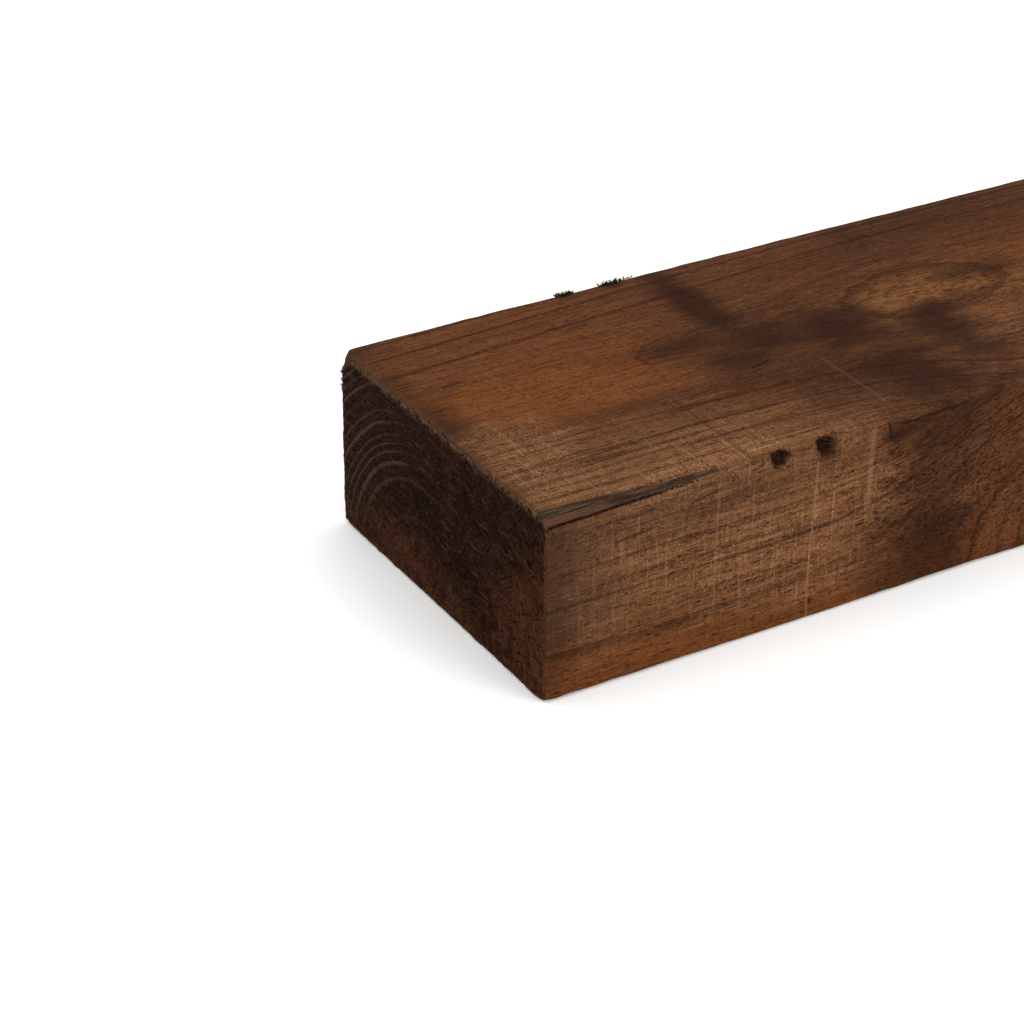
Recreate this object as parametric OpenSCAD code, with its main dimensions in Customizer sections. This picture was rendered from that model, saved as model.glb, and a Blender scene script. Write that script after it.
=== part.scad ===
// Garden sleeper: one baulk of sawn, pressure-treated softwood.
// X runs along the baulk, Y across it, Z up. The origin is the centre of the bed.
// The near end is at -X, the front side at -Y.

/* [Baulk] */
// Length from end to end
sleeper_length = 2400; // [1200:100:3000]
// Width of the top and the bed
sleeper_width = 200; // [150:5:250]
// Depth from the top to the bed
sleeper_depth = 100; // [75:5:150]

/* [Arrises] */
// Radius of the four long arrises, rubbed by handling
long_arris_radius = 3; // [1:0.5:6]
// Radius of the arrises round each sawn end
end_arris_radius = 1.5; // [0.5:0.5:4]

/* [Torn sliver] */
// How far the torn sliver runs along the front top arris
sliver_length = 108; // [40:2:180]
// How far it reaches into the top at the near end
sliver_width = 9.5; // [4:0.5:16]
// How far it reaches down the front at the near end
sliver_depth = 4.6; // [2:0.2:10]

/* [Chipped corner] */
// Reach of the chip along the back top arris
chip_length = 5; // [2:0.5:15]
// Reach of the chip across the near end
chip_width = 17; // [4:1:40]
// Reach of the chip down the near end
chip_depth = 15; // [4:1:40]

/* [Band dents] */
// Distance of the first dent from the near end
first_dent = 130; // [115:5:300]
// Distance from the first dent to the second
dent_spacing = 26; // [15:1:60]
// Distance from the second dent to the faint third one
last_dent_spacing = 43; // [15:1:80]
// Radius of the groove that the band pressed
dent_radius = 5; // [3:0.5:8]
// Depth of the groove below the arris
dent_bite = 3.4; // [2:0.2:5]

/* [Hidden] */
$fn = 48;

near_end = -sleeper_length / 2;
front = -sleeper_width / 2;
back = sleeper_width / 2;
top = sleeper_depth;

// A cutter starts this far outside the timber
clear = 1;
// The sliver's step: how much of its width and depth the steep inner facet takes
sliver_step = [0.68, 0.76];
// Share of a full dent's bite that the faint third dent and the back dents have
faint_bite = 0.4;
back_bite = 0.75;
// Angle between a dent's groove and the side face, so that most of it is on that face
dent_lean = 16;
// Length of a dent's cutter, well past both faces of the arris
dent_reach = 60;

// [distance from the near end, side of the sleeper, bite]
dents = [
    [first_dent, front, dent_bite],
    [first_dent + dent_spacing, front, dent_bite],
    [first_dent + dent_spacing + last_dent_spacing, front, dent_bite * faint_bite],
    [first_dent, back, dent_bite * back_bite],
    [first_dent + dent_spacing, back, dent_bite * back_bite]
];

// A square bar along X with a quarter circle left out: what rounding an arris takes away.
// It stands on the arris at the origin and lies towards -Y and +Z.
module arris_waste(length, radius) {
    rotate([90, 0, 90])
        linear_extrude(height = length + 2 * clear, center = true)
            difference() {
                translate([-radius, -radius])
                    square(radius + clear);
                translate([-radius, -radius])
                    circle(r = radius);
            }
}

module long_arrises() {
    for (side = [0, 1], level = [0, 1])
        mirror([0, side, 0])
            translate([0, back, level * sleeper_depth])
                mirror([0, 0, 1 - level])
                    arris_waste(sleeper_length, long_arris_radius);
}

module end_arrises() {
    for (end = [0, 1])
        mirror([end, 0, 0])
            translate([sleeper_length / 2, 0, 0]) {
                for (level = [0, 1])
                    translate([0, 0, level * sleeper_depth])
                        mirror([0, 0, 1 - level])
                            rotate([0, 0, -90])
                                arris_waste(sleeper_width, end_arris_radius);
                for (side = [0, 1])
                    mirror([0, side, 0])
                        translate([0, back, sleeper_depth / 2])
                            rotate([0, -90, -90])
                                arris_waste(sleeper_depth, end_arris_radius);
            }
}

// A long wedge with a stepped section, which runs out to nothing on the front top arris
module torn_sliver() {
    overrun = (sliver_length + clear) / sliver_length;
    section = [
        [-clear, clear],
        [sliver_width * overrun, clear],
        [sliver_width * sliver_step[0] * overrun, -sliver_depth * sliver_step[1] * overrun],
        [-clear, -sliver_depth * overrun]
    ];
    base = [for (p = section) [-clear, p[0], p[1]]];
    apex = [sliver_length, 0, 0];
    translate([near_end, front, top])
        polyhedron(
            points = concat(base, [apex]),
            faces = [[0, 1, 2, 3], [1, 0, 4], [2, 1, 4], [3, 2, 4], [0, 3, 4]]
        );
}

// A flat chip off the near end's back top corner. The cutter is a right-angled corner whose
// slanting face crosses the three arrises at chip_length, chip_width and chip_depth.
module chipped_corner() {
    overrun = 0.25;
    reach = [chip_length, chip_width, chip_depth];
    leg = reach * (1 + 3 * overrun);
    translate([near_end, back, top])
        translate([-reach[0], reach[1], reach[2]] * overrun)
            polyhedron(
                points = [[0, 0, 0], [leg[0], 0, 0], [0, -leg[1], 0], [0, 0, -leg[2]]],
                faces = [[0, 2, 1], [0, 1, 3], [0, 3, 2], [1, 2, 3]]
            );
}

// A round groove that a tight band pressed across a top arris
module band_dent(place, side, bite) {
    outward = sign(side);
    translate([near_end + place, side, top])
        rotate([outward * dent_lean, 0, 0])
            translate([0, outward * (dent_radius - bite), 0])
                cylinder(r = dent_radius, h = dent_reach, center = true);
}

module sleeper() {
    color("#5f3a22")
        difference() {
            translate([near_end, front, 0])
                cube([sleeper_length, sleeper_width, sleeper_depth]);
            long_arrises();
            end_arrises();
            torn_sliver();
            chipped_corner();
            for (dent = dents)
                band_dent(dent[0], dent[1], dent[2]);
        }
}

sleeper();
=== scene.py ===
import itertools
import math

import bpy
import numpy as np
from mathutils import Matrix, Vector


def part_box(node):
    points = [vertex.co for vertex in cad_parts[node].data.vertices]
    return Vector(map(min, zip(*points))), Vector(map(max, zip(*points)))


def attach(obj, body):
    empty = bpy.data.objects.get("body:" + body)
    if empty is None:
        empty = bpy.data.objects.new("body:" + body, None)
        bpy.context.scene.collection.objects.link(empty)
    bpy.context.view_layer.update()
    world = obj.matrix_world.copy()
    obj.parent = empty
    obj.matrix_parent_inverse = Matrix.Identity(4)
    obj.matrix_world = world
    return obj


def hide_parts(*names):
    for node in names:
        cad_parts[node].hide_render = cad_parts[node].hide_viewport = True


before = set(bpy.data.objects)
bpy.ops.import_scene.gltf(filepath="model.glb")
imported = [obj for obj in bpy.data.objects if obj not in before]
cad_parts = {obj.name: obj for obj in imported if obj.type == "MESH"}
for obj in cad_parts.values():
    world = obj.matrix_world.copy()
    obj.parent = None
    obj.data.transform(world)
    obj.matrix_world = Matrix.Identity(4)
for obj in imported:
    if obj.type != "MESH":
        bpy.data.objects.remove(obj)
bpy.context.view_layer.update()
low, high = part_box("sleeper")
mm = 0.001
length, width, depth = [(b - a) / mm for a, b in zip(low, high)]
# Places below are in millimetres: x from the near end, y from the middle line, z from the bed
origin = Vector((low.x, (low.y + high.y) / 2, low.z))
print(f"frame: a sleeper of {length:.0f} x {width:.0f} x {depth:.0f} mm")


def srgb(code):
    # A hex colour as the linear values that shaders take
    parts = [int(code[i:i + 2], 16) / 255 for i in (1, 3, 5)]
    return [c / 12.92 if c < 0.04045 else ((c + 0.055) / 1.055) ** 2.4 for c in parts] + [1.0]


def smooth(value, start, end):
    # 0 before start, 1 after end and an even slope between them
    t = np.clip((value - start) / (end - start), 0, 1)
    return t * t * (3 - 2 * t)


def cellValue(cell, seed):
    # The same random value from -1 to 1 each time for one whole-number cell
    c = cell.astype(np.int64).astype(np.uint64)
    h = c[:, 0] * np.uint64(0x9E3779B97F4A7C15)
    h ^= c[:, 1] * np.uint64(0xC2B2AE3D27D4EB4F)
    h ^= c[:, 2] * np.uint64(0x165667B19E3779F9)
    h ^= np.uint64(seed * 7919 + 1)
    h = (h ^ (h >> np.uint64(29))) * np.uint64(0xBF58476D1CE4E5B9)
    h = (h ^ (h >> np.uint64(32))) * np.uint64(0x94D049BB133111EB)
    return (h >> np.uint64(40)).astype(float) / 2 ** 23 - 1


def lumps(place, size, seed, octaves=1):
    # Smooth random values from about -1 to 1, where size is one lump's reach in mm, each way
    p = place / size
    total = np.zeros(len(place))
    for octave in range(octaves):
        cell = np.floor(p)
        t = p - cell
        t = t * t * (3 - 2 * t)
        for corner in itertools.product((0, 1), repeat=3):
            weight = np.prod(np.where(corner, t, 1 - t), axis=1)
            total += weight * cellValue(cell + corner, seed + octave) * 0.5 ** octave
        p = p * 2.03
    return total


# The tree that the baulk was sawn from: its pith runs just under the bed
grownTree = {
    "pith": (12, -7),                # y and z of the pith at the near end
    "drift": (5, 6),                 # how far it wanders each way along the baulk
    "driftLength": (2600, 3400),
    # Where each growth ring ends, measured from the pith
    "rings": (0, 14, 27, 39, 50, 60.5, 70, 78, 83, 87, 91.4, 98.6, 104, 112.5, 118, 122.5, 127, 131,
              136, 140.5, 145, 149.5, 154, 158, 162.5),
    "lateWood": (0.55, 0.93),        # the share of a ring where it starts to darken and is darkest
    # Swirls where the rings bulge outwards: centre, reach each way and how far they bulge
    "swirls": (
        ((280, 14, 100), (161, 110, 70), 5.0), ((298, 12, 100), (46, 50, 60), 4.8),
        ((270, -8, 100), (26, 24, 40), 1.5),
        ((322, -100, 38), (82, 60, 110), 38), ((640, 100, 60), (70, 60, 80), 12),
        ((760, -30, 100), (110, 70, 60), 9), ((900, -100, 60), (75, 60, 80), 20),
        ((1010, 30, 0), (90, 50, 40), 6), ((1180, 45, 100), (80, 60, 70), 10),
        ((1330, 100, 30), (80, 60, 80), 22), ((1500, -100, 75), (90, 60, 70), 11),
        ((1640, 0, 100), (120, 80, 60), 12), ((1860, 100, 70), (70, 60, 80), 14),
        ((1980, -100, 30), (80, 60, 90), 24), ((2120, 30, 100), (100, 70, 60), 8),
        ((450, 30, 0), (80, 50, 40), 5), ((1750, -30, 0), (80, 50, 40), 6),
    ),
}


def readGrain(place):
    # The cross-section place that each fibre had before it swirled, and the count of rings there
    x = place[:, 0]
    driftY, driftZ = grownTree["drift"]
    longY, longZ = grownTree["driftLength"]
    pith = np.stack([
        grownTree["pith"][0] + driftY * np.sin(2 * np.pi * x / longY),
        grownTree["pith"][1] + driftZ * np.sin(2 * np.pi * x / longZ),
    ], 1)
    arm = place[:, 1:] - pith
    radius = np.maximum(np.linalg.norm(arm, axis=1), 1e-6)
    bulge = np.zeros(len(x))
    for centre, reach, lift in grownTree["swirls"]:
        away = (place - centre) / reach
        bulge += lift * np.exp(-(away ** 2).sum(1))
    wander = 1.3 * lumps(place, (260, 70, 70), 11) + 0.45 * lumps(place, (70, 16, 16), 12)
    grown = np.maximum(radius - bulge - wander, 0.5)
    section = arm / radius[:, None] * grown[:, None]
    rings = np.interp(grown, grownTree["rings"], np.arange(len(grownTree["rings"])))
    return np.column_stack([x, section]), rings


def latewood(rings):
    # How hard and dark the wood is: it rises through each ring and drops at its end
    share = rings - np.floor(rings)
    return smooth(share, *grownTree["lateWood"]) * (1 - smooth(share, 0.97, 1.0))


# The baulk's form in millimetres, on the sizes that the frame gives
baulk = {
    "longArris": 3.0,       # radius of the four long arrises
    "endArris": 1.5,        # radius round the sawn ends
    "nearPart": 460,        # this much of it is meshed finely
    "arcSteps": (6, 4), "endArcSteps": 4,   # round each long arris, near and far, and round the ends
    "nearStep": 2.2, "farStep": 5.5,        # spacing of points round the section, in each part
    "nearAlong": ((210, 1.8), (300, 2.8), (460, 5)),        # along the near part: up to where, and spacing
    "farAlong": 15,                 # along the far part
    "farEndAlong": (90, 4, 0.1),    # near its end: over how much, spacing at the end and how it grows
    "endSteps": (1.25, 2.0),        # across the near end and the far one
    "sliver": (110, 9.5, 4.6),      # length, width and depth of the sliver torn off the front top arris
    "sliverStep": (0.68, 0.76),     # how much of them its steep inner side takes
    "sliverTaper": 0.68,            # under 1 keeps it wide for longer before it runs out
    "chip": (5, 17, 15),            # along, across and down, off the near end's back top corner
    # Band dents: x, side, bite, width and how ragged
    "dents": (
        (130, -1, 3.4, 9.0, 1.0), (156, -1, 3.4, 11.0, 1.2), (199, -1, 1.36, 8.0, 1.2),
        (130, 1, 2.55, 8.5, 1.0), (156, 1, 2.55, 9.5, 1.0),
    ),
    "dentLean": 16,         # degrees that a dent's floor leans from the side towards the top
    "crease": 42,           # degrees over which a fold in the surface stays sharp
    # Places inside the wood, in and down from an arris, that cut points are drawn towards
    "sliverPivot": (16.0, 16.0), "dentPivot": (20.0, 20.0), "chipPivot": (14.0, 26.0, 24.0),
}


def sidePlaces(run, step):
    # Places along one straight side, a third of a step apart at the arrises and up to a step between them
    places = [0.0]
    while places[-1] < run / 2:
        places.append(places[-1] + min(step, 0.32 * step + 0.09 * places[-1]))
    half = np.array(places) * (run / 2) / places[-1]
    return np.concatenate([half, run - half[-2::-1]])[1:-1]


def sectionOutline(step, arcSteps):
    # The section's outline with its rounded arrises: y and z, the outward way and the distance round
    r = baulk["longArris"]
    side = width / 2 - r
    centres = [(-side, r), (side, r), (side, depth - r), (-side, depth - r)]
    points, outward = [], []
    for corner in range(4):
        turn = math.pi + corner * math.pi / 2
        for k in range(arcSteps + 1):
            angle = turn + k / arcSteps * math.pi / 2
            way = np.array([math.cos(angle), math.sin(angle)])
            points.append(np.array(centres[corner]) + r * way)
            outward.append(way)
        start, end = points[-1], np.array(centres[(corner + 1) % 4]) + r * outward[-1]
        run = np.linalg.norm(end - start)
        for s in sidePlaces(run, step):
            points.append(start + (end - start) * s / run)
            outward.append(way)
    points, outward = np.array(points), np.array(outward)
    steps = np.linalg.norm(np.roll(points, -1, 0) - points, axis=1)
    return points, outward, np.concatenate([[0], np.cumsum(steps)[:-1]]), steps.sum()


class Skin:
    # Gathers the points and faces of the timber's closed surface, and the island of each face on the
    # bake's map
    def __init__(self):
        self.place, self.normal, self.round, self.faces, self.island = [], [], [], [], []
        self.count = 0

    def add(self, place, normal, distance):
        first = self.count
        self.place.append(place)
        self.normal.append(normal)
        self.round.append(distance)
        self.count += len(place)
        return np.arange(first, self.count)

    def join(self, a, b, island):
        # Quads between two loops of equal length
        quads = np.stack([a, np.roll(a, -1), np.roll(b, -1), b], 1)
        self.faces += quads.tolist()
        self.island += [island] * len(quads)

    def stitch(self, a, b, island):
        # Triangles between two loops of any length, which both go round the middle of the section
        angles = []
        for loop in (a, b):
            p = np.concatenate(self.place)[loop][:, 1:] - (0, depth / 2)
            angle = np.arctan2(p[:, 1], p[:, 0])
            order = np.argsort(angle)
            angles.append((loop[order], angle[order]))
        (a, angleA), (b, angleB) = angles
        i = j = 0
        while i < len(a) or j < len(b):
            nextA = angleA[i] if i < len(a) else math.inf
            nextB = angleB[j] if j < len(b) else math.inf
            lastA, lastB = a[i - 1], b[j - 1]
            if nextA < nextB:
                self.faces.append([lastA, a[i], lastB])
                i += 1
            else:
                self.faces.append([lastB, lastA, b[j]])
                j += 1
            self.island.append(island)

    def cap(self, x, facing, step, island):
        # A grid across a sawn end. Returns the loop round its edge
        margin = baulk["endArris"] + 0.9
        ys = np.linspace(-width / 2 + margin, width / 2 - margin, int((width - 2 * margin) / step) + 1)
        zs = np.linspace(margin, depth - margin, int((depth - 2 * margin) / step) + 1)
        grid = np.stack(np.meshgrid(ys, zs, indexing="ij"), -1).reshape(-1, 2)
        place = np.column_stack([np.full(len(grid), x), grid])
        ids = self.add(place, np.tile([facing, 0.0, 0.0], (len(grid), 1)), np.zeros(len(grid)))
        ids = ids.reshape(len(ys), len(zs))
        quads = np.stack([ids[:-1, :-1], ids[1:, :-1], ids[1:, 1:], ids[:-1, 1:]], -1).reshape(-1, 4)
        self.faces += quads.tolist()
        self.island += [island] * len(quads)
        return np.concatenate([ids[:-1, 0], ids[-1, :-1], ids[:0:-1, -1], ids[0, :0:-1]])


def stations(start, end, step, grow=0.0):
    # Places along the baulk whose spacing grows from step by a share of the distance
    found = [start]
    while found[-1] < end:
        found.append(found[-1] + step + grow * (found[-1] - start))
    found = np.array(found)
    return start + (found - start) * (end - start) / (found[-1] - start)


def buildSkin():
    skin = Skin()
    fine = sectionOutline(baulk["nearStep"], baulk["arcSteps"][0])
    coarse = sectionOutline(baulk["farStep"], baulk["arcSteps"][1])
    r = baulk["endArris"]

    def loop(outline, x, lean, facing):
        # lean is the angle round the end arris: 0 on the end face, 90 degrees on the sides
        points, outward, distance, _ = outline
        inset = r * (1 - math.sin(lean))
        at = np.column_stack([np.full(len(points), x), points - outward * inset])
        way = np.column_stack([np.full(len(points), facing * math.cos(lean)), outward * math.sin(lean)])
        return skin.add(at, way, distance)

    leans = np.linspace(0, math.pi / 2, baulk["endArcSteps"] + 1)
    near = [loop(fine, r - r * math.cos(a), a, -1) for a in leans]
    start = r
    for end, step in baulk["nearAlong"]:
        near += [loop(fine, x, math.pi / 2, 0) for x in stations(start, end, step)[1:]]
        start = end
    # The far part starts half a step on, and triangles join it to the finer loops
    endReach, endStep, endGrow = baulk["farEndAlong"]
    xs = stations(start + baulk["farAlong"] // 2, length - endReach, baulk["farAlong"])
    far = [loop(coarse, x, math.pi / 2, 0) for x in xs]
    xs = length - stations(r, endReach, endStep, endGrow)[-2::-1]
    far += [loop(coarse, x, math.pi / 2, 0) for x in xs]
    far += [loop(coarse, length - r + r * math.cos(a), a, 1) for a in leans[-2::-1]]
    for a, b in zip(near, near[1:]):
        skin.join(a, b, "near")
    for a, b in zip(far, far[1:]):
        skin.join(a, b, "far")
    skin.stitch(near[-1], far[0], "far")
    nearEnd, farEnd = baulk["endSteps"]
    skin.stitch(skin.cap(0.0, -1, nearEnd, "nearEnd"), near[0], "nearEnd")
    skin.stitch(skin.cap(length, 1, farEnd, "farEnd"), far[-1], "farEnd")
    return skin, fine[3]


def cutShare(pivot, point, inward, offset):
    # How far from the pivot towards each point a cutting plane is met: under 1 where the point is cut away
    toPivot = (pivot * inward).sum(-1) - offset
    toPoint = (point * inward).sum(-1) - offset
    return np.where(toPoint < 0, toPivot / np.maximum(toPivot - toPoint, 1e-9), 1.0)


def fromArris(place, side):
    # Distance in from one side face and down from the top
    return np.column_stack([width / 2 - side * place[:, 1], depth - place[:, 2]])


def moveArris(place, side, pivot, share):
    # Draws points along the line to the pivot, to their share of the way out
    p = pivot + share[:, None] * (fromArris(place, side) - pivot)
    moved = share < 1
    place[moved, 1] = side * (width / 2 - p[moved, 0])
    place[moved, 2] = depth - p[moved, 1]


def tearSliver(place):
    # A stepped sliver off the front top arris, deepest at the near end. Returns how much its steep side and
    # its tread took off
    runOut, across, down = baulk["sliver"]
    ragged = 0.035 * lumps(place, (26, 6, 6), 31) + 0.02 * lumps(place, (7, 3, 3), 32)
    left = 1 - place[:, 0] / runOut + ragged * (place[:, 0] < runOut)
    k = np.clip(left, 0.001, 1.1) ** baulk["sliverTaper"]
    wide, deep = across * k, down * k
    stepIn, stepDown = wide * baulk["sliverStep"][0], deep * baulk["sliverStep"][1]
    steep = np.column_stack([stepDown, wide - stepIn])
    tread = np.column_stack([deep - stepDown, stepIn])
    steepSize, treadSize = np.linalg.norm(steep, axis=1), np.linalg.norm(tread, axis=1)
    pivot, at = np.array(baulk["sliverPivot"]), fromArris(place, -1)
    bySteep = cutShare(pivot, at, steep / steepSize[:, None], stepDown * wide / steepSize)
    byTread = cutShare(pivot, at, tread / treadSize[:, None], stepIn * deep / treadSize)
    share = np.maximum(bySteep, byTread)
    share[(at > pivot).any(1) | (place[:, 0] > runOut)] = 1
    moveArris(place, -1, pivot, share)
    taken = (1 - share) * np.linalg.norm(at - pivot, axis=1)
    return taken * (bySteep >= byTread), taken * (bySteep < byTread)


def pressDents(place):
    # Ragged grooves where a band bit into the two top arrises. Returns their depth
    lean = math.radians(baulk["dentLean"])
    inward = np.array([math.cos(lean), math.sin(lean)])
    pivot, depthOfAll = np.array(baulk["dentPivot"]), np.zeros(len(place))
    for number, (x, side, bite, wide, rough) in enumerate(baulk["dents"]):
        at = fromArris(place, side)
        edge = 1 + 0.25 * lumps(place, (30, 2.5, 2.5), 41 + number)
        across = (place[:, 0] - x) / (wide / 2) / edge
        groove = bite * np.sqrt(np.clip(1 - across ** 4, 0, 1))
        groove += rough * 0.8 * lumps(place, (2.6, 1.7, 1.7), 51 + number) * (groove > 0)
        share = cutShare(pivot, at, inward, np.maximum(groove, 0))
        share[(at > pivot).any(1) | (groove <= 0)] = 1
        moveArris(place, side, pivot, share)
        depthOfAll += (1 - share) * np.linalg.norm(at - pivot, axis=1)
    return depthOfAll


def chipCorner(place):
    # A flat chip off the near end's back top corner
    along, across, down = baulk["chip"]
    at = np.column_stack([place[:, 0], fromArris(place, 1)])
    inward = np.array([1 / along, 1 / across, 1 / down])
    size = np.linalg.norm(inward)
    pivot = np.array(baulk["chipPivot"])
    offset = 1 / size + 0.35 * lumps(place, (4, 4, 4), 61)
    share = cutShare(pivot, at, inward / size, offset)
    share[(at > pivot).any(1)] = 1
    p = pivot + share[:, None] * (at - pivot)
    cut = share < 1
    place[cut] = np.column_stack([p[cut, 0], width / 2 - p[cut, 1], depth - p[cut, 2]])
    return (1 - share) * np.linalg.norm(at - pivot, axis=1)


# Relief in the surface, as the most that each kind takes off, in mm
relief = {
    "drying": 0.25,         # long low waves
    "longWear": 0.7,        # nicks along the long arrises
    "endWear": 1.1,         # crumbled arrises round the ends
    "cornerWear": 1.2,      # blunted corners, over cornerReach
    "cornerReach": 5.0,
    "endRings": 0.42,       # the soft early wood between the rings of a sawn end
    "endSaw": 0.35,
    "fibres": 0.1,
}


def fromFaces(place):
    # Distance in from the nearer end, from the nearer side and from the top or bed
    x, y, z = place.T
    return np.stack([np.minimum(x, length - x), width / 2 - np.abs(y), depth / 2 - np.abs(z - depth / 2)])


def wearDown(place, normal, rings, grain):
    # How much each point lies under the plain form. The sizes of its lumps are those of the waves,
    # nicks and crumbs in mm
    arris = 2 * np.abs(normal[:, 1] * normal[:, 2])
    endFace = np.abs(normal[:, 0])
    endArris = 2 * endFace * np.linalg.norm(normal[:, 1:], axis=1)
    depthTaken = relief["drying"] * (0.5 + 0.5 * lumps(place, (190, 55, 55), 71))
    long = 0.45 + 0.6 * lumps(place, (42, 9, 9), 72) + 0.45 * lumps(place, (8, 3.5, 3.5), 73)
    depthTaken += relief["longWear"] * arris * np.clip(long, 0, 1.3)
    end = 0.5 + 0.5 * lumps(place, (6, 9, 9), 74) + 0.5 * lumps(place, (2.6, 2.6, 2.6), 75)
    depthTaken += relief["endWear"] * np.clip(endArris * end, 0, 1.4)
    corner = np.exp(-(np.linalg.norm(fromFaces(place), axis=0) / relief["cornerReach"]) ** 2)
    depthTaken += relief["cornerWear"] * corner * (0.8 + 0.4 * lumps(place, (3, 3, 3), 80))
    onEnd = smooth(endFace, 0.6, 1.0)
    soft = 1 - latewood(rings + 0.05 * lumps(place, (4, 4, 4), 76))
    depthTaken += onEnd * relief["endRings"] * soft * (0.7 + 0.3 * lumps(place, (30, 30, 30), 77))
    depthTaken += onEnd * relief["endSaw"] * (0.5 + 0.5 * lumps(place, (9, 2.2, 2.2), 78, 2))
    depthTaken += (1 - onEnd) * relief["fibres"] * (0.5 + 0.5 * lumps(grain, (45, 2.4, 2.4), 79, 2))
    return depthTaken


# Where the wood shows bare
bareWood = {
    "cutShows": 0.7,            # mm taken off by which a chip or a tear looks bare
    "crushShows": (0.5, 1.5),   # mm pressed in where a dent starts to look crushed and fully does
    "freshTread": (14, 40),     # places between which the sliver's tread turns from fresh to old
    # Worn arrises, round the top of each end and elsewhere: reach in mm and strength. The paler, wider wear
    # round the top of each end is partly real wear and partly a painted highlight on its rounded arris
    "endTop": (3.2, 1.35), "elsewhere": (2.2, 0.45), "endTopReach": 6,
}


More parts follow.
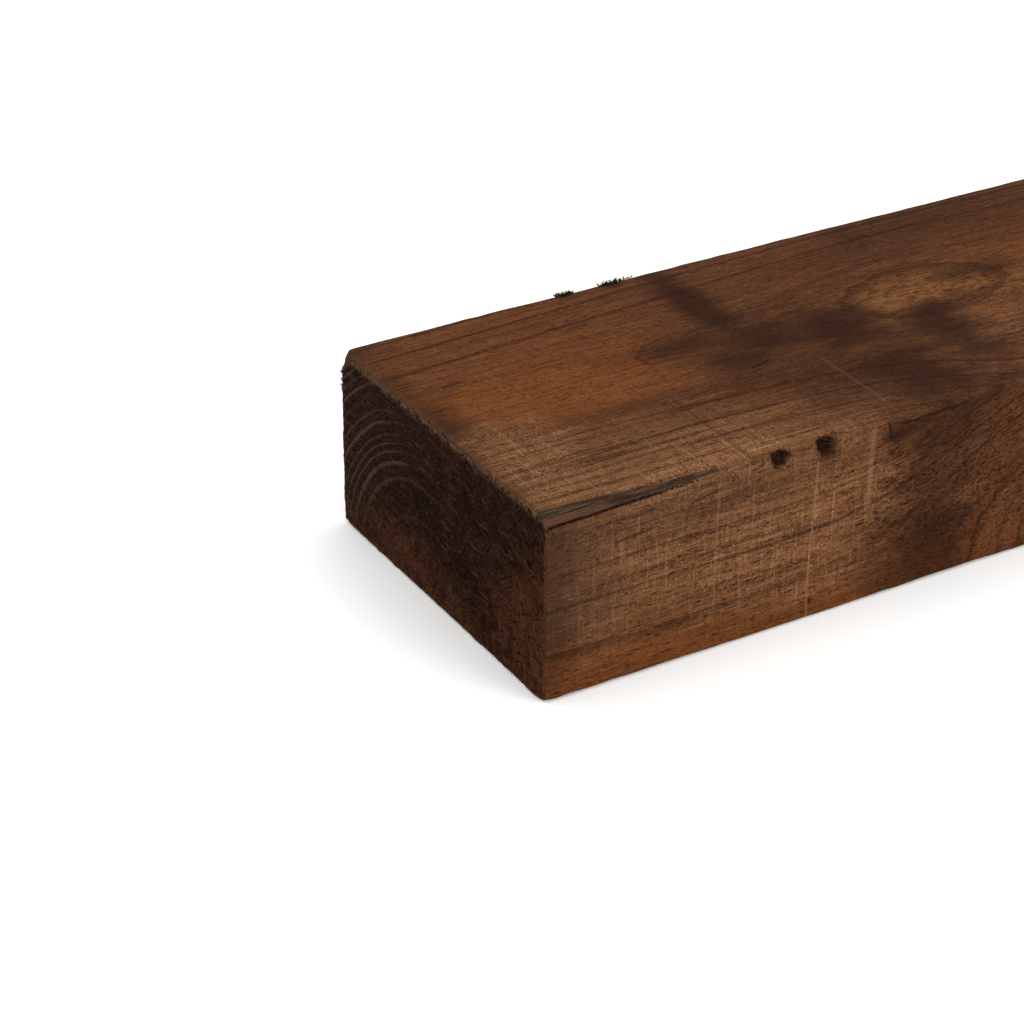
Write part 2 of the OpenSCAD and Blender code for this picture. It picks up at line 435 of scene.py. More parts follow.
# Uneven stain and wear, from the treatment and the yard: centre, reach each way and strength of each patch
tones = {
    "stain": (
        # The near part
        ((184, 54, 100), (16, 74, 20), 0.95), ((184, -50, 100), (15, 74, 20), 0.4),
        ((160, 17, 100), (44, 15, 14), 0.55), ((194, 4, 100), (36, 24, 14), 0.85),
        ((165, -30, 100), (34, 12, 10), 0.5), ((324, 15, 100), (18, 14, 10), 0.75),
        ((290, -12, 100), (26, 14, 10), 1.0), ((140, 16, 100), (22, 11, 8), 0.6),
        ((2, 50, 100), (13, 15, 8), 0.5), ((2, 92, 100), (14, 14, 8), 0.4),
        ((172, -12, 100), (28, 16, 14), 0.85), ((234, -6, 100), (36, 32, 14), 0.95),
        ((236, -70, 98), (34, 46, 20), 0.9), ((232, -60, 100), (64, 76, 20), 0.55),
        ((284, -28, 100), (26, 38, 14), 0.95), ((330, 62, 100), (120, 46, 20), 0.35),
        ((98, -27, 100), (62, 9, 12), 0.35), ((312, -6, 100), (16, 10, 10), 0.6),
        ((306, 82, 100), (18, 30, 20), 0.6), ((348, 15, 100), (22, 14, 10), 0.6),
        ((400, 78, 100), (140, 50, 20), 0.45), ((131, 98, 100), (7, 8, 6), 0.9),
        ((160, 98, 100), (9, 8, 6), 0.9), ((3, 0, 100), (19, 36, 8), 0.8),
        ((281, -52, 100), (22, 30, 14), 0.8), ((12, -98, 100), (40, 9, 6), 0.5),
        ((158, -100, 93), (9, 7, 9), 0.9), ((200, -100, 93), (12, 7, 10), 0.75),
        ((224, -100, 26), (38, 20, 54), 0.8), ((230, -100, 88), (27, 20, 28), 0.75),
        ((202, -100, 8), (30, 20, 24), 0.6), ((232, -100, 60), (36, 20, 40), 0.6),
        ((3, -100, 50), (16, 20, 80), 0.5), ((184, 10, 0), (18, 120, 14), 0.5),
        # Further along
        ((760, 10, 100), (18, 120, 14), 0.5), ((1350, 10, 100), (20, 120, 14), 0.6),
        ((1930, 10, 100), (17, 120, 14), 0.5), ((760, 10, 0), (18, 120, 14), 0.6),
        ((1350, 10, 0), (20, 120, 14), 0.6), ((1930, 10, 0), (18, 120, 14), 0.5),
        ((600, -100, 60), (90, 20, 60), 0.6), ((1120, 40, 100), (90, 70, 20), 0.5),
        ((1700, -100, 20), (120, 20, 50), 0.6), ((900, 100, 50), (100, 20, 70), 0.6),
        ((2050, 100, 30), (90, 20, 50), 0.6),
    ),
    "rubbed": (
        # The near part
        ((60, -84, 100), (140, 50, 20), 0.8), ((72, -92, 100), (80, 20, 16), 1.8),
        ((22, -60, 100), (40, 62, 14), 1.25), ((24, -32, 100), (40, 18, 12), 1.25),
        ((150, -96, 99), (70, 24, 18), 0.8), ((90, -100, 62), (170, 20, 46), 0.9),
        ((176, -100, 58), (44, 20, 34), 1.0), ((136, -100, 44), (84, 20, 38), 1.25),
        ((300, -44, 100), (40, 26, 14), 0.5),
        # Further along
        ((2250, 40, 100), (150, 60, 24), 0.7), ((1500, 100, 60), (300, 20, 50), 0.5),
        ((700, 100, 50), (220, 20, 50), 0.4), ((1000, -100, 70), (260, 20, 50), 0.5),
        ((1900, -100, 70), (200, 20, 40), 0.5), ((1500, 0, 0), (400, 80, 14), 0.5),
        ((500, 0, 0), (260, 80, 14), 0.4),
    ),
    "warm": (
        # The near part
        ((68, 12, 100), (88, 46, 20), 1.0), ((70, 56, 100), (120, 56, 16), 0.5),
        ((240, 64, 100), (56, 40, 16), 0.2), ((262, -100, 14), (30, 20, 18), 0.6),
        ((90, -100, 10), (200, 20, 34), 0.8), ((316, -30, 100), (24, 16, 12), 0.6),
        ((420, 20, 100), (110, 70, 20), 0.5),
        # Further along
        ((1000, -10, 100), (240, 60, 20), 0.6), ((1680, 10, 100), (220, 70, 20), 0.6),
        ((1200, -100, 30), (280, 20, 40), 0.5), ((1400, 20, 0), (300, 60, 20), 0.4),
    ),
    "pale": (
        ((300, 8, 100), (60, 34, 20), 1.0), ((262, 14, 100), (26, 16, 14), 0.5),
        ((1640, 0, 100), (70, 30, 20), 0.6),
    ),
    "grey": (
        ((12, -96, 100), (26, 8, 6), 0.6), ((10, -100, 74), (36, 9, 60), 0.8),
        ((60, -100, 86), (110, 6, 20), 0.5), ((4, 96, 100), (24, 14, 10), 0.7),
        ((2380, -60, 70), (60, 80, 50), 0.5),
    ),
    "pitted": (
        ((238, -100, 50), (70, 20, 70), 1.0), ((304, 8, 100), (60, 36, 20), 0.9),
        ((120, -100, 30), (90, 20, 34), 0.4), ((900, -100, 40), (90, 20, 60), 0.9),
        ((1330, 100, 40), (90, 20, 60), 0.9), ((1980, -100, 40), (90, 20, 60), 0.9),
    ),
    "endGrey": (
        ((0, 86, 62), (20, 56, 60), 1.0), ((2400, -60, 40), (20, 80, 60), 0.8),
    ),
    "endRed": (
        ((0, 24, 0), (20, 84, 32), 1.0), ((0, -88, 20), (20, 44, 60), 1.0),
        ((2400, 30, 60), (20, 80, 50), 0.7),
    ),
}


def toneAt(place, grain, patches, seed):
    # Soft patches whose edges run out along the grain. One whose strength is over 1 is full well out
    # from its middle
    tone = np.zeros(len(place))
    fingers = 0.22 * lumps(grain, (60, 5, 5), seed, 2) + 0.18 * lumps(place, (30, 22, 22), seed + 5, 2)
    for centre, reach, strength in patches:
        away = np.linalg.norm((place - centre) / reach, axis=1) + fingers
        tone = np.maximum(tone, strength * (1 - smooth(away, 0.2, 1.25)))
    return tone


def bakePlaces(mesh, skin, placeByPoint, roundByPoint, distanceRound):
    # Lays the surface out on the bake's map: the near part largest, the ends, and the far part in strips
    gap = 4 / 1024      # between islands
    strips = 3
    spare = 16          # mm that the last face of a strip may reach past its end
    run = (length - baulk["nearPart"]) / strips
    farScale = (1 - (strips + 1) * gap) / (strips * distanceRound)
    left = 1 - (run + spare) * farScale - 3 * gap
    nearScale = left / baulk["nearPart"]
    roof = distanceRound * nearScale + 2 * gap
    endScale = min((left - gap) / (2 * width), (1 - roof - gap) / depth)
    layer = mesh.uv_layers.new(name="OFBake")
    loops = np.empty(len(mesh.loops), int)
    mesh.loops.foreach_get("vertex_index", loops)
    sizes = np.array([len(f) for f in skin.faces])
    starts = np.concatenate([[0], np.cumsum(sizes)[:-1]])
    face = np.repeat(np.arange(len(sizes)), sizes)
    island = np.array(skin.island)[face]
    at, turn = placeByPoint[loops], roundByPoint[loops]
    # A face across the seam has corners at both ends of the way round
    highest = np.maximum.reduceat(turn, starts)[face]
    turn = np.where(highest - turn > distanceRound / 2, turn + distanceRound, turn)
    firstX = np.minimum.reduceat(at[:, 0], starts)[face]
    strip = np.clip(((firstX - baulk["nearPart"]) / run).astype(int), 0, strips - 1)
    u, v = np.zeros(len(loops)), np.zeros(len(loops))
    near, far = island == "near", island == "far"
    u[near], v[near] = gap + at[near, 0] * nearScale, gap + turn[near] * nearScale
    u[far] = left + 2 * gap + (at[far, 0] - baulk["nearPart"] - strip[far] * run) * farScale
    v[far] = gap + strip[far] * (distanceRound * farScale + gap) + turn[far] * farScale
    for name, slot in (("nearEnd", 0), ("farEnd", 1)):
        on = island == name
        u[on] = gap + slot * (width * endScale + gap) + (at[on, 1] + width / 2) * endScale
        v[on] = roof + at[on, 2] * endScale
    layer.uv.foreach_set("vector", np.column_stack([u, v]).astype(np.float32).ravel())


def buildTimber():
    skin, distanceRound = buildSkin()
    plain = np.concatenate(skin.place)
    normal = np.concatenate(skin.normal)
    place = plain.copy()
    bare = {"chipped": chipCorner(place)}
    # The steep side's mask is coloured as dark torn wood and partly as painted shade on that side
    bare["torn"], bare["tread"] = tearSliver(place)
    # Only the near end of the tread is fresh wood
    aged = bare["tread"] * smooth(place[:, 0], *bareWood["freshTread"])
    bare["tread"] -= aged
    bare["torn"] += aged
    bare["crushed"] = pressDents(place)
    grain, rings = readGrain(place)
    place -= normal * wearDown(place, normal, rings, grain)[:, None]
    mesh = bpy.data.meshes.new("sleeperTimber")
    mesh.from_pydata([origin + Vector(p) * mm for p in place.tolist()], [], skin.faces)
    timber = addObject("sleeperTimber", mesh)
    bpy.context.view_layer.objects.active = timber
    timber.select_set(True)
    bpy.ops.object.mode_set(mode="EDIT")
    bpy.ops.mesh.select_all(action="SELECT")
    bpy.ops.mesh.normals_make_consistent(inside=False)
    bpy.ops.object.mode_set(mode="OBJECT")
    mesh.shade_smooth()
    mesh.set_sharp_from_angle(angle=math.radians(baulk["crease"]))
    bakePlaces(mesh, skin, plain, np.concatenate(skin.round), distanceRound)
    masks = {name: toneAt(place, grain, patches, 81 + i) for i, (name, patches) in enumerate(tones.items())}
    masks.update((name, np.clip(taken / bareWood["cutShows"], 0, 1)) for name, taken in bare.items())
    masks["crushed"] = smooth(bare["crushed"], *bareWood["crushShows"])
    fromEdges = np.sort(fromFaces(plain), axis=0)
    near = bareWood["endTopReach"]
    endTop = (np.minimum(plain[:, 0], length - plain[:, 0]) < near) & (plain[:, 2] > depth - near)
    reach, most = [np.where(endTop, *pair) for pair in zip(bareWood["endTop"], bareWood["elsewhere"])]
    # Pale arrises from wear, and round the top of each end also a painted highlight
    masks["wearAndHighlight"] = most * np.exp(-(np.linalg.norm(fromEdges[:2], axis=0) / reach) ** 2)
    masks["rings"] = rings
    for name, values in masks.items():
        mesh.attributes.new(name, "FLOAT", "POINT").data.foreach_set("value", values.astype(np.float32))
    mesh.attributes.new("grain", "FLOAT_VECTOR", "POINT").data.foreach_set(
        "vector", grain.astype(np.float32).ravel()
    )
    ends = np.array([name.endswith("End") for name in skin.island])
    mesh.materials.append(sawnSoftwood())
    mesh.materials.append(sawnEndGrain())
    mesh.polygons.foreach_set("material_index", ends.astype(np.int32))
    print(f"timber: {len(mesh.vertices)} points, {sum(len(f) - 2 for f in skin.faces)} triangles")
    return timber


def node(tree, kind, inputs=None, out=0, **settings):
    # Adds a node with its settings and gives its inputs values or links. Returns one of its outputs, or
    # the node itself where out is None
    made = tree.nodes.new(kind)
    for name, value in settings.items():
        setattr(made, name, value)
    for name, value in (inputs or {}).items():
        if isinstance(value, bpy.types.NodeSocket):
            tree.links.new(value, made.inputs[name])
        else:
            made.inputs[name].default_value = value
    return made if out is None else made.outputs[out]


def addObject(name, data):
    made = bpy.data.objects.new(name, data)
    bpy.context.scene.collection.objects.link(made)
    return made


def newTree(name):
    material = bpy.data.materials.new(name)
    material.use_nodes = True
    material.node_tree.nodes.clear()
    return material, material.node_tree


def woodPatterns(tree, patterns):
    # Noise for each entry: its coordinates, the reach of one lump in mm each way, octaves and roughness
    place = node(tree, "ShaderNodeTexCoord", out="Object")
    place = node(tree, "ShaderNodeVectorMath", {0: place, 1: [-c for c in origin]}, operation="ADD")
    vectors = {
        "place": node(tree, "ShaderNodeVectorMath", {0: place, 1: [1 / mm] * 3}, operation="MULTIPLY"),
        "grain": node(tree, "ShaderNodeAttribute", out="Vector", attribute_name="grain"),
    }
    made = {}
    for name, (coordinates, size, octaves, rough) in patterns.items():
        scaled = node(tree, "ShaderNodeVectorMath", {0: vectors[coordinates], 1: [1 / s for s in size]},
                      operation="MULTIPLY")
        made[name] = node(tree, "ShaderNodeTexNoise", {
            "Vector": scaled, "Scale": 1.0, "Detail": octaves, "Roughness": rough,
        })
    return vectors, made


def ringPattern(tree, made, wobble):
    # Late wood: darkest at each ring's end, and stronger in some rings than in others
    rings = node(tree, "ShaderNodeAttribute", out="Fac", attribute_name="rings")
    rings = node(tree, "ShaderNodeMath", {0: made[wobble], 1: 0.3, 2: rings}, operation="MULTIPLY_ADD")
    share = node(tree, "ShaderNodeMath", {0: rings}, operation="FRACT")
    whole = node(tree, "ShaderNodeMath", {0: rings}, operation="FLOOR")
    start, full = grownTree["lateWood"]
    rise = node(tree, "ShaderNodeMapRange", {"Value": share, "From Min": start, "From Max": full},
                interpolation_type="SMOOTHSTEP")
    drop = node(tree, "ShaderNodeMapRange", {"Value": share, "From Min": 1.0, "From Max": 0.96},
                interpolation_type="SMOOTHSTEP")
    late = node(tree, "ShaderNodeMath", {0: rise, 1: drop}, operation="MULTIPLY")
    strength = node(tree, "ShaderNodeTexWhiteNoise", {"W": whole}, noise_dimensions="1D")
    strength = node(tree, "ShaderNodeMapRange", {"Value": strength, "To Min": 0.15, "To Max": 1.0})
    return node(tree, "ShaderNodeMath", {0: late, 1: strength}, operation="MULTIPLY"), rings


def coatColours(tree, base, layers, made):
    # Lays each colour over the last where its pattern passes from start to end. A mask dims the colour,
    # or, with a lift, it moves the pattern and so leaves a broken edge
    colour = node(tree, "ShaderNodeRGB")
    colour.default_value = srgb(base)
    for code, name, start, end, most, mask, lift in layers:
        value = made[name]
        held = node(tree, "ShaderNodeAttribute", out="Fac", attribute_name=mask) if mask else None
        if lift:
            value = node(tree, "ShaderNodeMath", {0: held, 1: lift, 2: value}, operation="MULTIPLY_ADD")
        share = node(tree, "ShaderNodeMapRange", {
            "Value": value, "From Min": start, "From Max": end, "To Max": most,
        }, interpolation_type="SMOOTHSTEP")
        if mask and not lift:
            share = node(tree, "ShaderNodeMath", {0: share, 1: held}, operation="MULTIPLY")
        colour = node(tree, "ShaderNodeMix", {0: share, 6: colour, 7: srgb(code)}, out=2, data_type="RGBA")
    return colour


def drawMarks(tree, place, wobble, colour, marks):
    # Thin lines from one place to another: cracks and scratches
    for start, end, wide, code, most in marks:
        run = [b - a for a, b in zip(start, end)]
        span = sum(c * c for c in run)
        away = node(tree, "ShaderNodeVectorMath", {0: place, 1: start}, operation="SUBTRACT")
        along = node(tree, "ShaderNodeVectorMath", {0: away, 1: [c / span for c in run]}, out=1,
                     operation="DOT_PRODUCT")
        along = node(tree, "ShaderNodeMath", {0: along, 1: 1.0}, operation="MULTIPLY", use_clamp=True)
        nearest = node(tree, "ShaderNodeVectorMath", {0: run, "Scale": along}, operation="SCALE")
        away = node(tree, "ShaderNodeVectorMath", {0: away, 1: nearest}, out=1, operation="DISTANCE")
        # The wobble is about a half and makes the edge ragged: full within 0.4 of the width, gone by 1.4
        away = node(tree, "ShaderNodeMath", {0: wobble, 1: 2.2 * wide, 2: away}, operation="MULTIPLY_ADD")
        share = node(tree, "ShaderNodeMapRange", {
            "Value": away, "From Min": 2.5 * wide, "From Max": 1.5 * wide, "To Max": most,
        }, interpolation_type="SMOOTHSTEP")
        colour = node(tree, "ShaderNodeMix", {0: share, 6: colour, 7: srgb(code)}, out=2, data_type="RGBA")
    return colour


def addUp(tree, made, shares):
    # A height in mm from patterns and how far each one stands up, or in where it is below 0
    total = None
    for name, rise in shares:
        total = node(tree, "ShaderNodeMath", {0: made[name], 1: rise, 2: total or 0.0},
                     operation="MULTIPLY_ADD")
    return total


def finishWood(tree, colour, height, roughness, ior, specular):
    bump = node(tree, "ShaderNodeBump", {"Height": height, "Strength": 1.0, "Distance": mm})
    shader = node(tree, "ShaderNodeBsdfPrincipled", {
        "Base Color": colour, "Roughness": roughness, "IOR": ior, "Specular IOR Level": specular,
        "Normal": bump,
    })
    node(tree, "ShaderNodeOutputMaterial", {"Surface": shader}, out=None)


# Sawn softwood, pressure-treated brown. Its surface was made by a band saw, which leaves it matt, with
# a dry fur of fibres and fine lines across the grain. The stain is dark in soft wood and knots
sawnFace = {
    "base": "#4b2d19",
    "patterns": {
        "fibres": ("grain", (26, 1.1, 1.1), 3, 0.62),       # fibre bundles, about 1 mm wide
        "streaks": ("grain", (90, 3.4, 3.4), 3, 0.55),      # most of a 5 mm growth ring
        "bands": ("grain", (340, 16, 16), 2, 0.5),          # three rings together
        "clouds": ("place", (80, 46, 46), 3, 0.55),         # where the treatment soaked in unevenly
        "mottle": ("place", (9, 5, 5), 4, 0.62),            # blotches under 1 cm
        "dashes": ("grain", (5.5, 0.8, 0.8), 1, 0.5),       # resin canals 0.2 mm wide, drawn wider to show
        "sawLines": ("place", (1.0, 22, 22), 3, 0.65),      # one line for each tooth's pass, 1 mm apart
        "sawWash": ("place", (7, 120, 120), 2, 0.5),        # the blade's sway, about every 7 mm
        "speckle": ("place", (2.4, 1.5, 1.5), 3, 0.7),      # tufts of fur 0.5 mm wide, drawn wider to show
        "grit": ("place", (0.7, 0.7, 0.7), 2, 0.6),         # sawdust of 0.3 mm, drawn coarser to show
    },
    # Colour, pattern, where it starts and is full, its most, its mask and the mask's lift
    "layers": (
        ("#54341f", "bands", 0.48, 0.62, 0.55, "", 0),
        ("#3a2011", "bands", 0.5, 0.36, 0.55, "", 0),
        ("#563721", "clouds", 0.5, 0.66, 0.5, "", 0),
        ("#361e0d", "streaks", 0.52, 0.34, 0.3, "", 0),
        ("#5c3a23", "streaks", 0.5, 0.66, 0.4, "", 0),
        ("#301b0f", "mottle", 0.48, 0.3, 0.45, "", 0),
        ("#6a4328", "mottle", 0.54, 0.7, 0.35, "", 0),
        ("#683a1a", "clouds", 0.15, 0.5, 0.85, "warm", 0),
        ("#764d2a", "mottle", 0.25, 0.6, 0.9, "pale", 0),
        ("#2f190d", "fibres", 0.5, 0.34, 0.5, "", 0),
        ("#6c472c", "fibres", 0.52, 0.7, 0.4, "", 0),
        ("#301a0d", "grit", 0.46, 0.28, 0.55, "", 0),
        ("#2c170b", "late", 0.05, 0.9, 0.52, "", 0),
        ("#6b462c", "streaks", 0.3, 0.62, 0.75, "rubbed", 0),
        ("#865f40", "fibres", 0.5, 0.7, 0.5, "rubbed", 0),
        ("#94704f", "sawLines", 0.54, 0.76, 0.55, "rubbed", 0),
        ("#40271a", "sawLines", 0.46, 0.3, 0.5, "rubbed", 0),
        ("#a07b5b", "grit", 0.57, 0.72, 0.7, "rubbed", 0),
        ("#2c190e", "grit", 0.44, 0.28, 0.55, "rubbed", 0),
        ("#3b2a20", "mottle", 0.2, 0.55, 0.75, "grey", 0),
        ("#28140a", "late", 0.5, 1.0, 0.5, "", 0),
        ("#221109", "speckle", 0.46, 0.3, 0.7, "", 0),
        ("#8a5f3e", "speckle", 0.57, 0.76, 0.45, "", 0),
        ("#23110a", "mottle", 0.08, 0.45, 0.88, "stain", 0),
        ("#1a0d07", "dashes", 0.64, 0.71, 0.8, "pitted", 0.09),
        # Worn arrises, and round the top of each end a painted highlight
        ("#46301f", "mottle", 0.35, 0.6, 0.8, "wearAndHighlight", 0),
        ("#3c261a", "mottle", 0.2, 0.5, 0.75, "chipped", 0),
        # Dark torn wood; on the sliver's steep inner side this dark is partly painted shade, as that side
        # faces away from the light
        ("#30231b", "streaks", 0.2, 0.5, 0.95, "torn", 0),
        ("#170d08", "fibres", 0.5, 0.35, 0.6, "torn", 0),
        # A painted highlight: a pale streak through the torn wood, standing for the light along the middle
        # of the sliver's steep side
        ("#4f4037", "fibres", 0.5, 0.66, 0.7, "torn", 0),
        ("#553a2c", "fibres", 0.3, 0.6, 0.8, "tread", 0),
        ("#140b06", "mottle", 0.15, 0.4, 0.96, "crushed", 0),
        ("#5c402d", "grit", 0.6, 0.74, 0.7, "crushed", 0),
    ),
    "heights": (
        ("fibres", 0.28), ("streaks", 0.3), ("late", 0.1), ("sawLines", 0.16), ("sawWash", 0.2),
        ("mottle", 0.18), ("speckle", 0.22), ("grit", 0.12),
    ),
    # Cracks are dark and scratches pale: start, end, half width in mm, colour and strength
    "marks": (
        ((115, -30, 100), (114, -96, 100), 0.7, "#2e1b12", 0.5),
        ((124, 16, 100), (134, 25, 100), 1.1, "#2a160b", 0.6),
        ((134, 25, 100), (164, 33, 100), 0.9, "#2a160b", 0.5),
        ((124, 16, 100), (126, 7, 100), 1.1, "#2a160b", 0.6),
        ((126, 7, 100), (144, 6, 100), 1.0, "#2a160b", 0.55),
        ((144, 6, 100), (166, -3, 100), 0.9, "#2a160b", 0.5),
        ((205, -31, 100), (204.5, -84, 100), 0.7, "#6f4f39", 0.22),
        ((168, -22, 100), (180, -19, 100), 0.8, "#1c0f09", 0.9),
        ((25, 37, 100), (34, 37.6, 100), 1.4, "#2c1b10", 0.8),
        ((152.4, -100, 88), (151.2, -100, 46), 0.6, "#7d5c44", 0.5),
        ((150.6, -100, 45), (151.2, -100, 0), 0.5, "#7d5c44", 0.5),
        ((95, -100, 92), (95, -100, 24), 0.6, "#755440", 0.35),
        ((185, -100, 96), (184.5, -100, 56), 1.6, "#7b5943", 0.35),
        # Painted shade: the dark line of the undercut crack under the sliver's tread, along the front near
        # the top
        ((2, -100, 95.2), (60, -100, 97.0), 0.9, "#0d0604", 0.95),
        ((60, -100, 97.0), (107, -100, 99.2), 0.8, "#140a06", 0.9),
        ((38, -100, 77), (57, -100, 79), 1.0, "#2b1a10", 0.7),
        ((80, -100, 86), (95, -100, 89), 0.7, "#2b1a10", 0.7),
        ((194, -100, 98), (196, -100, 90), 1.1, "#1a0f0a", 0.75),
        ((196, -100, 90), (200, -100, 85), 0.9, "#1a0f0a", 0.5),
        ((203, -100, 95.4), (243, -100, 96.9), 0.9, "#1c100a", 0.75),
    ),
    "roughness": (0.7, 0.9), "ior": 1.5, "specular": 0.02,      # the fur leaves hardly any gloss
}


def sawnSoftwood():
    material, tree = newTree("sawnTreatedSoftwood")
    vectors, made = woodPatterns(tree, sawnFace["patterns"])
    made["late"], _ = ringPattern(tree, made, "streaks")
    colour = coatColours(tree, sawnFace["base"], sawnFace["layers"], made)
    colour = drawMarks(tree, vectors["place"], made["grit"], colour, sawnFace["marks"])
    least, most = sawnFace["roughness"]
    roughness = node(tree, "ShaderNodeMapRange", {
        "Value": made["mottle"], "From Min": 0.3, "From Max": 0.7, "To Min": least, "To Max": most,
    })
    height = addUp(tree, made, sawnFace["heights"])
    finishWood(tree, colour, height, roughness, sawnFace["ior"], sawnFace["specular"])
    return material


# The same softwood, sawn across: open pores drink the stain, so the end is nearly black brown and rough;
# that dark is deepened further as painted shade, for the shade that the end sits in
endGrain = {
    # The base and most colours below are darker than the stain alone makes them: painted shade on the end
    "base": "#1d0f09",
    "patterns": {
        "pores": ("place", (1.1, 1.1, 1.1), 3, 0.65),       # cells 0.04 mm wide, drawn as tufts to show
        "mottle": ("place", (8, 8, 8), 3, 0.6),             # blotches of stain, about 8 mm
        "clouds": ("place", (30, 38, 26), 2, 0.5),          # where the end drank more or less of it
        "speckle": ("place", (2.2, 2.2, 2.2), 3, 0.7),      # bundles of fibres torn out, about 2 mm
        "grit": ("place", (0.7, 0.7, 0.7), 2, 0.6),         # sawdust of 0.3 mm, drawn coarser to show
        "sawLines": ("place", (40, 26, 1.4), 2, 0.6),       # one line for each tooth's pass, 1.4 mm apart
    },
    # Lumps to a radian round the pith and to a ring outwards, and octaves: drying checks run out from
    # the pith, and the saw tears the wood in short strokes along the rings
    "roundPith": {"checks": (70.0, 0.35, 1.0), "strokes": (15.0, 3.4, 3.0)},
    "layers": (
        ("#2a160e", "clouds", 0.5, 0.66, 0.7, "", 0),
        ("#130905", "clouds", 0.5, 0.34, 0.7, "", 0),
        ("#482919", "mottle", 0.2, 0.6, 0.85, "endRed", 0),
        ("#251711", "mottle", 0.25, 0.6, 0.7, "endGrey", 0),
        ("#0c0503", "pores", 0.52, 0.36, 0.8, "", 0),
        ("#3e271b", "pores", 0.52, 0.68, 0.45, "", 0),
        ("#0e0704", "speckle", 0.44, 0.3, 0.5, "", 0),
        ("#0e0704", "strokes", 0.48, 0.32, 0.7, "", 0),
        ("#4c3326", "strokes", 0.56, 0.74, 0.4, "", 0),
        # These two paler late wood layers are partly paler late wood and partly a painted highlight, where
        # the raised rings catch the light
        ("#34231a", "late", 0.3, 1.0, 0.4, "", 0),
        ("#4c3c32", "late", 0.05, 0.75, 0.55, "endGrey", 0),
        ("#4c3629", "sawLines", 0.58, 0.72, 0.45, "", 0),
        ("#0b0503", "checks", 0.6, 0.7, 0.7, "", 0),
        ("#6a5444", "grit", 0.64, 0.75, 0.45, "", 0),
        ("#3a2518", "mottle", 0.2, 0.5, 0.7, "chipped", 0),
        # Pale arrises: real wear, and round the top of the end a painted highlight
        ("#5e4838", "speckle", 0.38, 0.6, 0.9, "wearAndHighlight", 0),
    ),
    "heights": (
        ("pores", 0.5), ("mottle", 0.6), ("grit", 0.25), ("late", 0.3), ("sawLines", 0.15),
        ("checks", -0.3), ("speckle", 0.25), ("strokes", 0.4),
    ),
    "roughness": 0.9, "ior": 1.5, "specular": 0.01,
}


def sawnEndGrain():
    material, tree = newTree("sawnTreatedEndGrain")
    vectors, made = woodPatterns(tree, endGrain["patterns"])
    made["late"], rings = ringPattern(tree, made, "pores")
    apart = node(tree, "ShaderNodeSeparateXYZ", {0: vectors["grain"]}, out=None)
    angle = node(tree, "ShaderNodeMath", {0: apart.outputs[1], 1: apart.outputs[2]}, operation="ARCTAN2")
    for name, (lumpsRound, lumpsOut, octaves) in endGrain["roundPith"].items():
        around = node(tree, "ShaderNodeMath", {0: angle, 1: lumpsRound}, operation="MULTIPLY")
        outwards = node(tree, "ShaderNodeMath", {0: rings, 1: lumpsOut}, operation="MULTIPLY")
        spot = node(tree, "ShaderNodeCombineXYZ", {0: around, 1: outwards})
        made[name] = node(tree, "ShaderNodeTexNoise", {"Vector": spot, "Scale": 1.0, "Detail": octaves})
    colour = coatColours(tree, endGrain["base"], endGrain["layers"], made)
    height = addUp(tree, made, endGrain["heights"])
    finishWood(tree, colour, height, endGrain["roughness"], endGrain["ior"], endGrain["specular"])
    return material


# The same softwood where the band and the saw tore its fibres loose: broken ends are matt and darker,
# and some stand up
torn = {
    "base": "#24160e",
    "patterns": {
        "fibres": ("place", (3, 0.6, 0.6), 3, 0.6),         # fibres 0.04 mm wide, drawn as bundles to show
        "mottle": ("place", (4, 4, 4), 2, 0.5),             # one tuft, about 4 mm
    },
    "layers": (("#6e5039", "fibres", 0.5, 0.7, 0.8, "", 0), ("#130b07", "mottle", 0.5, 0.3, 0.7, "", 0)),
    "heights": (("fibres", 0.2),),
    "roughness": 0.9, "ior": 1.5, "specular": 0.05,
    # Tufts along the long top arrises: place along and down, side, bite, reach along and down, how many,
    # their lengths, the way they point and how loosely
    "tufts": (
        (130, 5.0, -1, 3.4, (3.0, 3.6), 34, (1.2, 3.2), (0.4, -0.4, 0.0), 1.0),
        (158.5, 5.0, -1, 2.6, (5.5, 4.6), 80, (1.2, 3.6), (0.5, -0.4, 0.1), 1.0),
        (205, 6.0, -1, 0.6, (6.0, 4.0), 30, (1.2, 3.6), (0.9, -0.15, 0.0), 0.5),
        (132, 0.6, 1, 2.5, (5.0, 1.0), 100, (2.0, 4.8), (-0.3, 0.0, 0.5), 0.9),
        (160, 0.6, 1, 2.5, (6.5, 1.0), 100, (2.0, 4.6), (0.3, 0.0, 0.45), 0.9),
        (171, 0.8, 1, 0.2, (5.0, 0.4), 14, (1.5, 3.2), (0.8, 0.1, 0.35), 0.6),
        (1.8, 17, 1, 0.0, (0.7, 5.5), 34, (1.0, 2.4), (-0.5, 0.5, 0.0), 0.9),
        (2.5, 6.5, -1, 0.2, (1.6, 2.0), 12, (1.2, 2.6), (-0.5, -0.4, 0.1), 0.7),
    ),
    "proud": 2.0,       # the most that a tuft stands above the top
    "spread": 0.35, "widths": (0.5, 1.2), "bow": 0.3,       # how each one strays, its width and its bend
    # Single splinters: root, tip and width
    "splinters": (
        ((134, 96.8, 98.6), (121.5, 97.6, 101.9), 1.1), ((135, 97.0, 98.6), (127.5, 98.6, 102.1), 0.9),
        ((134, 96.4, 98.8), (139, 97.6, 102.1), 0.9), ((163, 97.0, 98.8), (155.5, 98.2, 102.1), 1.1),
        ((158, 96.8, 98.8), (166, 97.0, 101.9), 1.0), ((168, 98.6, 98.8), (175, 98.4, 101.4), 0.9),
        ((199, -98.6, 96.6), (211, -100.7, 94.6), 0.6), ((152, -97.6, 95.5), (158.5, -101.0, 97.8), 1.0),
        ((128, -97.6, 95), (133.5, -101, 96.5), 0.9),
    ),
}


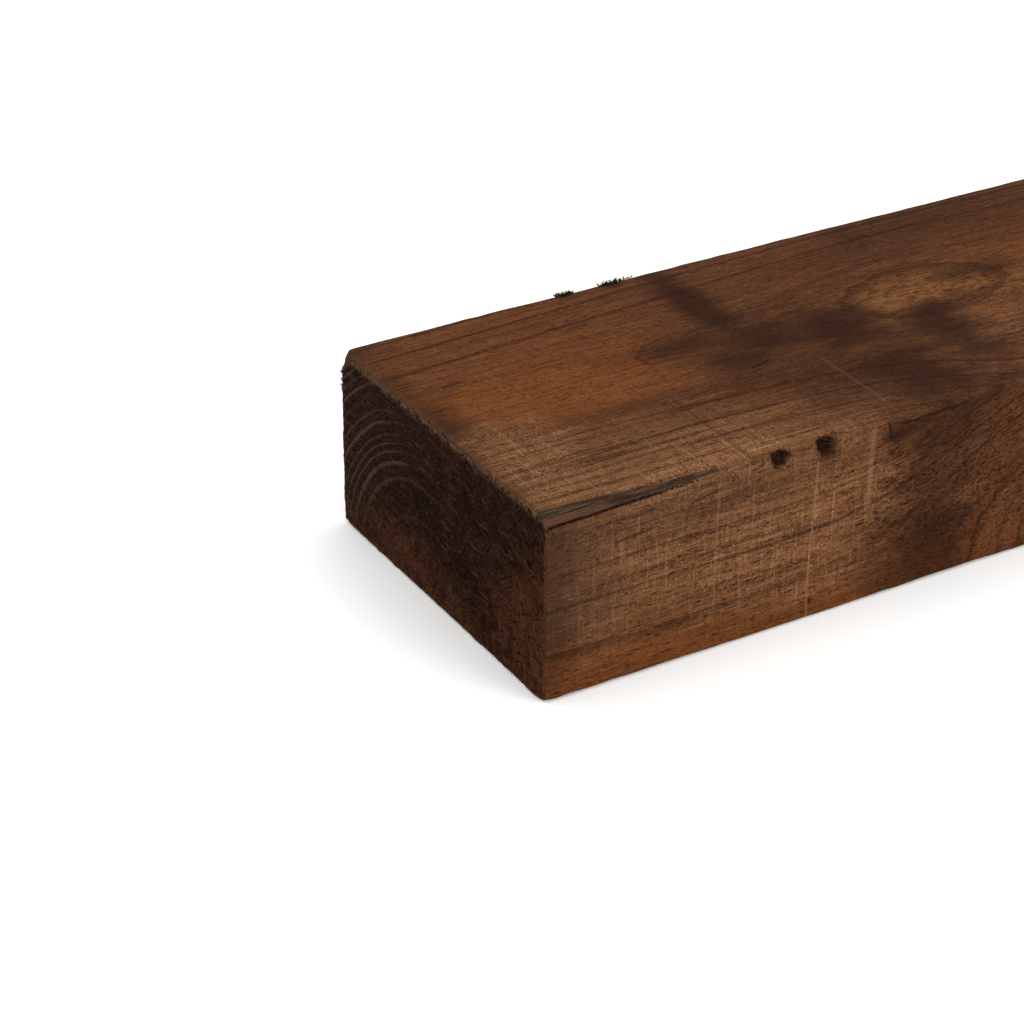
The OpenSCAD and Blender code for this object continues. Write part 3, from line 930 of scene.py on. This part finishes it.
def growSplinter(points, faces, root, tip, wide, bend):
    # A tapered sliver with a bow in it, 2.5 times as wide as it is thick: rings of four points and a
    # point at its tip
    root, tip, bend = Vector(root), Vector(tip), Vector(bend)
    run = tip - root
    across = run.cross(Vector((0.3, 0.5, 1))).normalized()
    thick = run.cross(across).normalized()
    first, rings = len(points), 5
    for k in range(rings):
        t = k / rings
        middle = root + run * t + bend * math.sin(math.pi * t)
        half = wide / 2 * (1 - t) ** 0.7
        for a, b in ((1, 0.4), (-1, 0.4), (-1, -0.4), (1, -0.4)):
            points.append(middle + across * a * half + thick * b * half)
    points.append(tip)
    for k in range(rings - 1):
        for i in range(4):
            j = (i + 1) % 4
            at = first + 4 * k
            faces.append((at + i, at + j, at + 4 + j, at + 4 + i))
    last = first + 4 * (rings - 1)
    faces.extend((last + i, last + (i + 1) % 4, len(points) - 1) for i in range(4))
    faces.append((first + 3, first + 2, first + 1, first))


def buildTornFibres():
    rng = np.random.default_rng(5)
    points, faces = [], []
    for root, tip, wide in torn["splinters"]:
        growSplinter(points, faces, root, tip, wide, rng.normal(0, torn["bow"], 3))
    for along, down, side, bite, reach, count, lengths, way, loose in torn["tufts"]:
        for _ in range(count):
            # Each root lies a little inside the floor that the dent left
            x, z = np.array([along, down]) + rng.uniform(-1, 1, 2) * reach
            inside = max(bite * (1 - max(z, 0) / 12), 0) + 0.6
            root = np.array([x, side * (width / 2 - inside), depth - max(z, 0.8)])
            run = np.array(way) + rng.normal(0, torn["spread"], 3) * loose
            run *= rng.uniform(*lengths) / np.linalg.norm(run)
            tip = root + run
            tip[2] = min(tip[2], depth + torn["proud"])
            wide = rng.uniform(*torn["widths"])
            growSplinter(points, faces, root, tip, wide, rng.normal(0, torn["bow"], 3))
    mesh = bpy.data.meshes.new("tornFibres")
    mesh.from_pydata([origin + Vector(p) * mm for p in points], [], faces)
    fibres = addObject("tornFibres", mesh)
    material, tree = newTree("tornTreatedSoftwood")
    _, made = woodPatterns(tree, torn["patterns"])
    colour = coatColours(tree, torn["base"], torn["layers"], made)
    height = addUp(tree, made, torn["heights"])
    finishWood(tree, colour, height, torn["roughness"], torn["ior"], torn["specular"])
    mesh.materials.append(material)
    print(f"torn fibres: {len(faces)} faces")
    return fibres


# The studio: one large soft light from the front, an even white room and a floor of matt white paper,
# which is rolled out smooth and so shows nothing but soft shadows
studio = {
    "floor": "#f7f7f6", "floorRoughness": 0.9, "floorSpecular": 0.1, "floorSize": 60.0,
    "room": "#ffffff", "roomLight": 1.4,
    # The light: its place in metres, size, power and what it points at
    "light": ((0.4, -3.2, 2.6), 2.4, 52, (-0.9, 0, 0.05)),
}


def buildStudio():
    half = studio["floorSize"] / 2
    mesh = bpy.data.meshes.new("floor")
    corners = [(x * half, y * half, low.z) for x, y in ((-1, -1), (1, -1), (1, 1), (-1, 1))]
    mesh.from_pydata(corners, [], [(0, 1, 2, 3)])
    floor = addObject("floor", mesh)
    material, tree = newTree("mattWhitePaper")
    shader = node(tree, "ShaderNodeBsdfPrincipled", {
        "Base Color": srgb(studio["floor"]), "Roughness": studio["floorRoughness"],
        "Specular IOR Level": studio["floorSpecular"],
    })
    node(tree, "ShaderNodeOutputMaterial", {"Surface": shader}, out=None)
    mesh.materials.append(material)
    place, size, power, target = studio["light"]
    light = bpy.data.lights.new("softLight", "AREA")
    light.shape, light.size, light.energy = "DISK", size, power
    lamp = addObject("softLight", light)
    lamp.location = place
    lamp.rotation_euler = (Vector(target) - Vector(place)).to_track_quat("-Z", "Y").to_euler()
    world = bpy.data.worlds.new("whiteRoom")
    world.use_nodes = True
    bpy.context.scene.world = world
    background = world.node_tree.nodes["Background"]
    background.inputs["Color"].default_value = srgb(studio["room"])
    background.inputs["Strength"].default_value = studio["roomLight"]


# The camera looks down on the near end from its left front: angles in degrees, distances in metres
view = {
    "azimuth": -31.14, "elevation": 29.85, "roll": 0.52, "distance": 1.2584, "lens": 96.32,
    "aim": (0.0, 0.0299, 0.0104),     # from the near end, the front side and the top
}


def setCamera():
    a, e, roll = (math.radians(view[name]) for name in ("azimuth", "elevation", "roll"))
    back = Vector((math.sin(a) * math.cos(e), -math.cos(a) * math.cos(e), math.sin(e)))
    flat = Vector((math.cos(a), math.sin(a), 0))
    right = math.cos(roll) * flat + math.sin(roll) * back.cross(flat)
    aim = Vector((low.x + view["aim"][0], low.y + view["aim"][1], high.z - view["aim"][2]))
    camera = addObject("camera", bpy.data.cameras.new("camera"))
    camera.data.lens, camera.data.sensor_width = view["lens"], 36
    axes = Matrix((right, back.cross(right), back)).transposed()
    camera.matrix_world = Matrix.Translation(aim + back * view["distance"]) @ axes.to_4x4()
    bpy.context.scene.camera = camera


setCamera()
timber = buildTimber()
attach(timber, "root")
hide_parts("sleeper")
fibres = buildTornFibres()
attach(fibres, "root")
buildStudio()
bpy.context.scene.view_settings.view_transform = "Standard"
print("studio: floor, light and camera in place")
